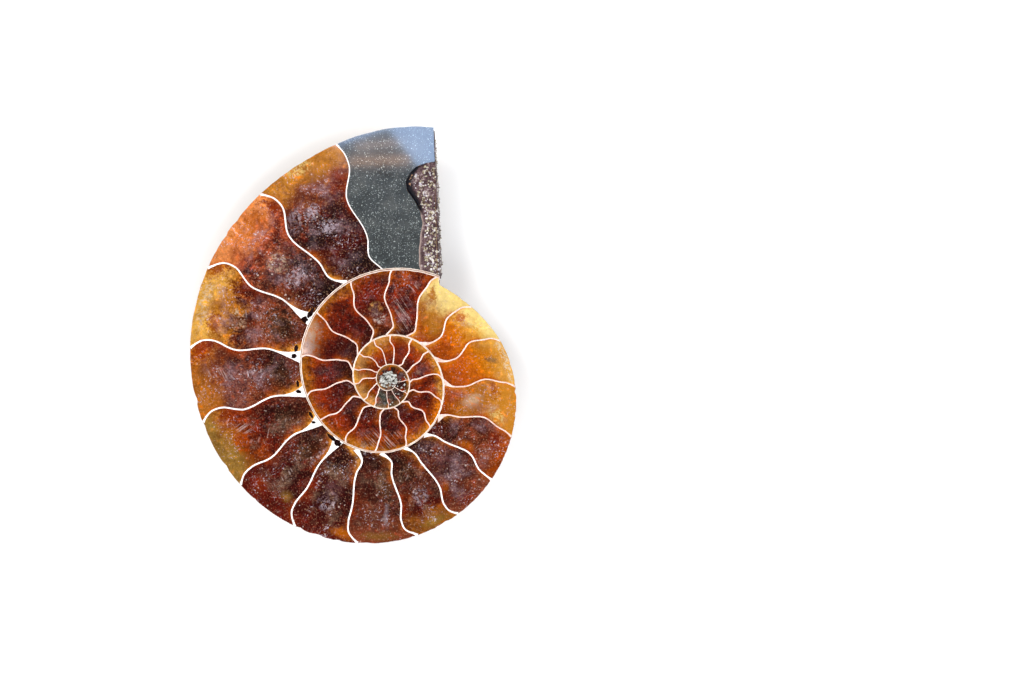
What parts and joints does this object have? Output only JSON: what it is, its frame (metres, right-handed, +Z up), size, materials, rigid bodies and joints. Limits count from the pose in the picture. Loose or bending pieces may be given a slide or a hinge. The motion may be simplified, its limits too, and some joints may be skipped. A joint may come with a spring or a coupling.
{
  "type": "polished ammonite fossil half",
  "caption": "Half of a coiled ammonite fossil, sawn through its chambers and polished flat, with the natural domed shell and umbilicus behind, lying cut face up.",
  "frame": {"origin": "middle of the bounding box's underside, on the surface the fossil lies on", "axes": "+Z up from the surface, nearly square to the polished cut face; +Y towards the mouth end of the shell along its height; +X towards the side the mouth opens to"},
  "size_m": [0.0542, 0.0694, 0.0139],
  "materials": {
    "ammonite_stone": "polished"
  },
  "bodies": {
    "root": {"ammonite_half": "ammonite_stone"}
  },
  "joints": []
}
